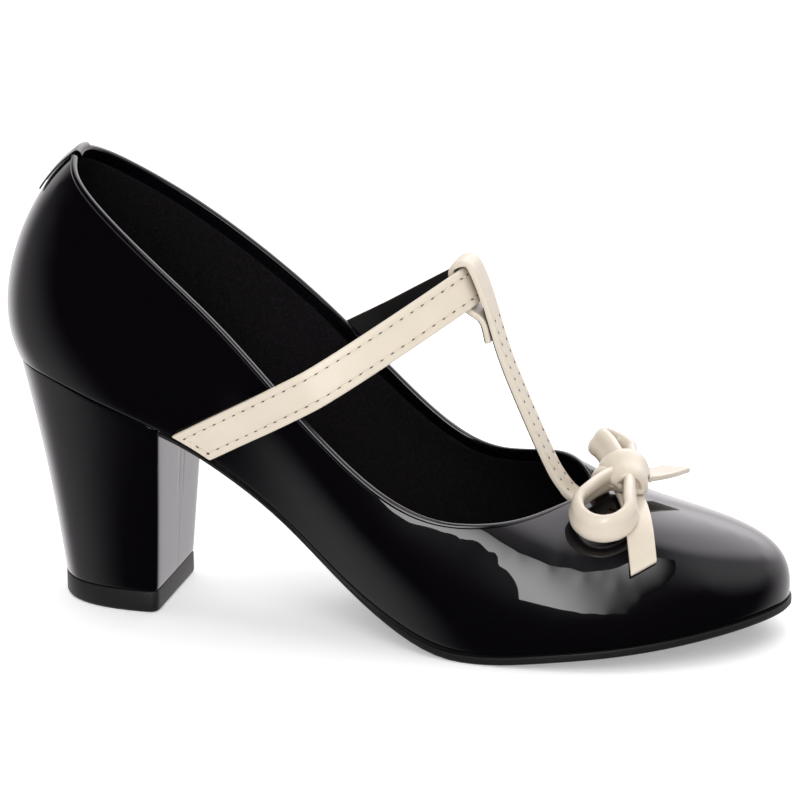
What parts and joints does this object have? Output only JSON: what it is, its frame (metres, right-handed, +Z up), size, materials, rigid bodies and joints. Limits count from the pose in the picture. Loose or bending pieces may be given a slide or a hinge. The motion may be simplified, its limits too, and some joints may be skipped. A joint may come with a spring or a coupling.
{
  "type": "mary jane pump",
  "caption": "Women's block-heel pump with a closed round toe, an instep strap held by a T-strap and a ribbon bow at the throat.",
  "frame": {"origin": "centre of the top lift's floor face", "axes": "+X to the toe, +Y to the inner side of a right shoe, +Z up from the floor"},
  "size_m": [0.228, 0.0763, 0.1332],
  "materials": {
    "black_patent": "high gloss patent",
    "cream_patent": "high gloss patent",
    "lining_cloth": "fine weave, matte",
    "sole_rubber": "satin",
    "lift_rubber": "satin"
  },
  "bodies": {
    "root": {"top_lift": "lift_rubber", "heel_block": "black_patent", "outsole": "sole_rubber", "insole": "lining_cloth", "upper": "black_patent", "back_tab": "black_patent", "instep_strap": "cream_patent", "t_strap": "cream_patent", "bow_loop_outer": "cream_patent", "bow_loop_inner": "cream_patent", "bow_tail_outer": "cream_patent", "bow_tail_inner": "cream_patent", "bow_knot": "cream_patent"}
  },
  "joints": []
}
